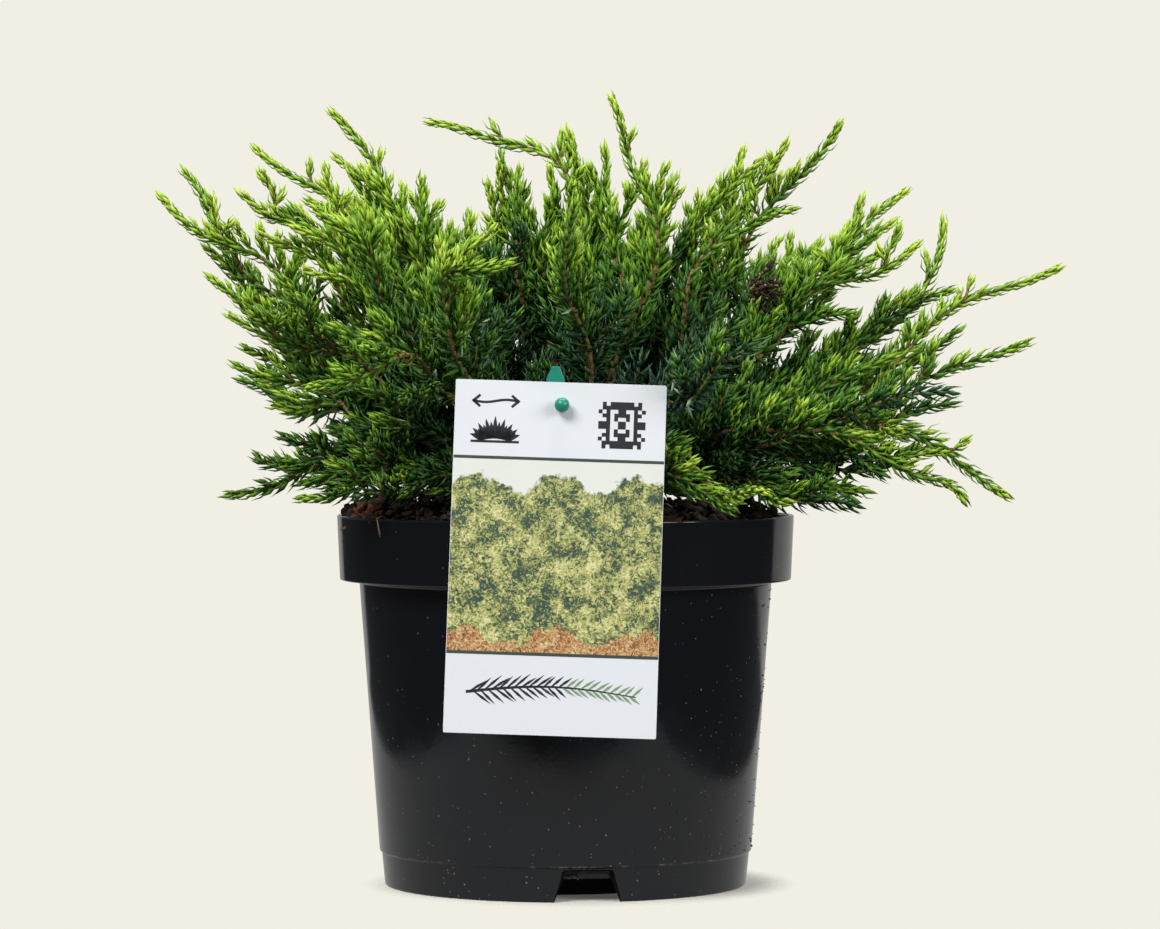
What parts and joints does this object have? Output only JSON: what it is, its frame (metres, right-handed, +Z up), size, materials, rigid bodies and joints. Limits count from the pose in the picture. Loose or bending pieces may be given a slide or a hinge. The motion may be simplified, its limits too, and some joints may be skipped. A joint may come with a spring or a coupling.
{
  "type": "potted repanda common juniper",
  "caption": "low spreading common juniper with rising needle-leaved shoots, in a round black nursery pot of soil with a plain plant label on a stake",
  "frame": {"origin": "on the pot's axis, at the level the pot stands on", "axes": "+Z up; the label hangs at the front, towards -Y; +X to the right seen from the front, along the crown's longest spread"},
  "size_m": [0.3353, 0.2408, 0.2928],
  "materials": {
    "pot": "black injection-moulded polypropylene, satin gloss",
    "soil": "dark brown moist peat with bark bits",
    "bark": "thin scaly brown bark",
    "foliage": "sharp evergreen needles in whorls of three, bright at the tips",
    "label_card": "white printed plastic card with a plain foliage pattern",
    "label_holder": "teal moulded plastic"
  },
  "bodies": {
    "root": {"back_left_low": "foliage", "back_left_rise": "foliage", "back_middle_low": "foliage", "back_middle_rise": "foliage", "back_middle_side": "foliage", "back_right_low": "foliage", "back_right_rise": "foliage", "bough_back_left": "bark", "bough_back_middle": "bark", "bough_back_right": "bark", "bough_centre_rear": "bark", "bough_centre_tall": "bark", "bough_left_front": "bark", "bough_left_low": "bark", "bough_left_outer": "bark", "bough_left_plume": "bark", "bough_left_tall": "bark", "bough_right_front": "bark", "bough_right_low": "bark", "bough_right_mid": "bark", "bough_right_outer": "bark", "bough_right_tall": "bark", "centre_front_up": "foliage", "centre_rear_arch": "foliage", "centre_rear_small": "foliage", "centre_tall_right": "foliage", "centre_tall_top": "foliage", "label_card": "label_card", "label_holder": "label_holder", "left_front_cross": "foliage", "left_front_low": "foliage", "left_low_front": "foliage", "left_low_hang": "foliage", "left_low_tip": "foliage", "left_outer_low": "foliage", "left_outer_rise": "foliage", "left_outer_tip": "foliage", "left_plume_front": "foliage", "left_plume_tip": "foliage", "left_tall_inner": "foliage", "left_tall_long": "foliage", "left_tall_top": "foliage", "pot": "pot", "right_front_bright": "foliage", "right_front_up": "foliage", "right_low_droop": "foliage", "right_low_hang": "foliage", "right_low_level": "foliage", "right_mid_front": "foliage", "right_mid_low": "foliage", "right_mid_tip": "foliage", "right_outer_far": "foliage", "right_outer_low": "foliage", "right_outer_rise": "foliage", "right_tall_left": "foliage", "right_tall_top": "foliage", "soil": "soil", "stem": "bark"}
  },
  "joints": []
}
